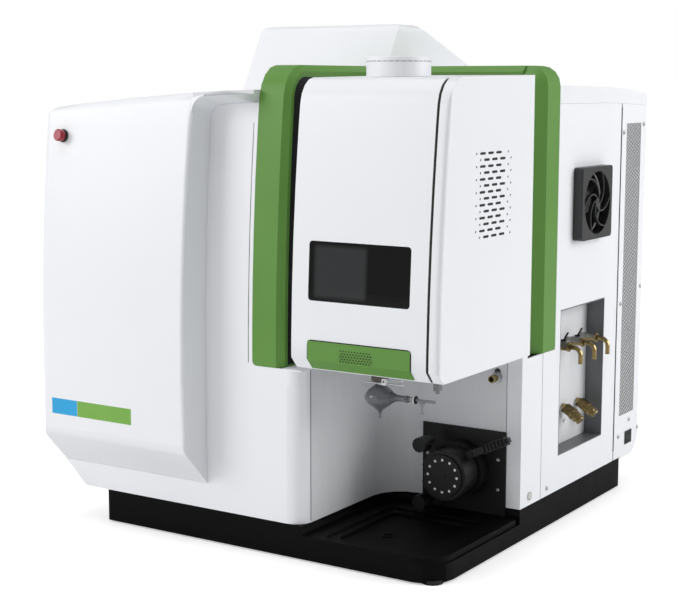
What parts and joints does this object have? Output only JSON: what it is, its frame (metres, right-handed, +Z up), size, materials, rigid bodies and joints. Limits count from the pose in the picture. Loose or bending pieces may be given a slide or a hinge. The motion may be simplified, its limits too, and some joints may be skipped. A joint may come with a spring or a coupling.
{
  "type": "bench-top inductively coupled plasma spectrometer",
  "caption": "White bench-top plasma spectrometer with bulged optics cover, green trim band, hinged torch door, open sample bay with peristaltic pump, drip tray and service recess.",
  "frame": {"origin": "centre of the overall footprint, on the bench under the feet", "axes": "+X to the machine's right side with the service recess, +Y to the back, +Z up"},
  "size_m": [0.776, 0.8442, 0.854],
  "materials": {
    "white_cover": "smooth satin off-white moulding",
    "white_panel": "satin off-white powder paint",
    "bay_wall": "satin light grey moulding",
    "green_trim": "satin green moulding",
    "black_base": "semi-gloss black moulding",
    "black_part": "black moulding",
    "rubber": "black rubber",
    "dark_grey": "dark grey sheet",
    "grey_sheet": "grey sheet",
    "steel": "bare steel",
    "aluminium": "machined aluminium",
    "inner_unit": null,
    "brass": "bare brass",
    "smoked_glass": "dark tinted window",
    "glass": "smoky laboratory glass",
    "quartz": "clear quartz",
    "red": "glossy red button"
  },
  "bodies": {
    "housing": {"base_plinth": "black_base", "foot_left_front": "rubber", "foot_right_front": "rubber", "foot_right_rear": "rubber", "foot_left_rear": "rubber", "optics_cover": "white_cover", "front_bezel": "white_cover", "left_side_panel": "white_panel", "bay_liner": "bay_wall", "right_column": "white_cover", "torch_niche": "dark_grey", "trim_band_left": "green_trim", "trim_band_rear": "green_trim", "trim_band_right": "green_trim", "top_lid": "white_cover", "rear_hood": "white_cover", "rear_cover": "white_panel", "power_inlet": "black_part", "side_panel": "white_panel", "rear_side_panel": "white_panel", "side_vent_mesh": "grey_sheet", "service_recess_frame": "grey_sheet", "service_recess_plate": "white_panel", "gas_fitting_1": "brass", "gas_fitting_2": "brass", "gas_fitting_3": "brass", "water_fitting_1": "brass", "water_fitting_2": "brass", "switch_bezel": "black_part", "fan_cover": "black_part", "fan_body": "black_part", "torch_housing": "white_cover", "exhaust_collar": "white_cover", "quartz_torch": "quartz", "torch_mount": "aluminium", "coil_plates": "aluminium", "viewing_cone": "brass", "spray_chamber": "glass", "nebulizer": "glass", "bay_connector": "grey_sheet", "bay_gas_port": "brass", "pump_plate": "black_part", "pump_body": "black_part", "button_bezel": "dark_grey", "optics_chamber": "inner_unit", "rf_generator": "inner_unit"},
    "door": {"torch_door": "white_cover", "door_window": "smoked_glass", "door_handle": "green_trim"},
    "tray": {"drip_tray": "black_base"},
    "rotor": {"pump_rotor": "black_part"},
    "knob_upper": {"pump_knob_upper": "black_part"},
    "knob_lower": {"pump_knob_lower": "black_part"},
    "tension_lever": {"pump_lever": "black_part"},
    "valve_lever_1": {"gas_valve_lever_1": "black_part"},
    "valve_lever_2": {"gas_valve_lever_2": "black_part"},
    "rocker": {"switch_rocker": "black_part"},
    "fan": {"fan_rotor": "black_part"},
    "button": {"emergency_button": "red"},
    "lock": {"column_lock": "steel"}
  },
  "joints": [
    {"name": "door_swing", "type": "hinge", "parent": "housing", "child": "door", "pos_m": [0.118, -0.37396, 0.372], "axis": [0, -0.0696, -0.9976], "range_deg": [0, 105]},
    {"name": "tray_out", "type": "slide", "parent": "housing", "child": "tray", "axis": [0, -1, 0], "range_m": [0, 0.2]},
    {"name": "rotor_turn", "type": "hinge", "parent": "housing", "child": "rotor", "pos_m": [0.259, -0.16315, 0.116], "axis": [0, 1, 0], "continuous": true},
    {"name": "knob_upper_turn", "type": "hinge", "parent": "housing", "child": "knob_upper", "pos_m": [0.214, -0.16315, 0.162], "axis": [0, 1, 0], "range_deg": [-180, 180]},
    {"name": "knob_lower_turn", "type": "hinge", "parent": "housing", "child": "knob_lower", "pos_m": [0.214, -0.16315, 0.064], "axis": [0, 1, 0], "range_deg": [-180, 180]},
    {"name": "lever_lift", "type": "hinge", "parent": "housing", "child": "tension_lever", "pos_m": [0.295, -0.13315, 0.151], "axis": [0, -1, 0], "range_deg": [0, 60]},
    {"name": "valve_1_turn", "type": "hinge", "parent": "housing", "child": "valve_lever_1", "pos_m": [0.3513, 0.09785, 0.3123], "axis": [0, 0, 1], "range_deg": [0, 90]},
    {"name": "valve_2_turn", "type": "hinge", "parent": "housing", "child": "valve_lever_2", "pos_m": [0.3513, 0.15635, 0.3123], "axis": [0, 0, 1], "range_deg": [0, 90]},
    {"name": "rocker_tip", "type": "hinge", "parent": "housing", "child": "rocker", "pos_m": [0.364, 0.36985, 0.09], "axis": [0, 1, 0], "range_deg": [0, 11]},
    {"name": "fan_turn", "type": "hinge", "parent": "housing", "child": "fan", "pos_m": [0.351, 0.15885, 0.549], "axis": [1, 0, 0], "continuous": true},
    {"name": "button_press", "type": "slide", "parent": "housing", "child": "button", "axis": [0, 0.9922, -0.1244], "range_m": [0, 0.004], "stiffness_N_per_m": 400},
    {"name": "lock_turn", "type": "hinge", "parent": "housing", "child": "lock", "pos_m": [0.364, -0.05415, 0.073], "axis": [1, 0, 0], "range_deg": [0, 90]}
  ]
}
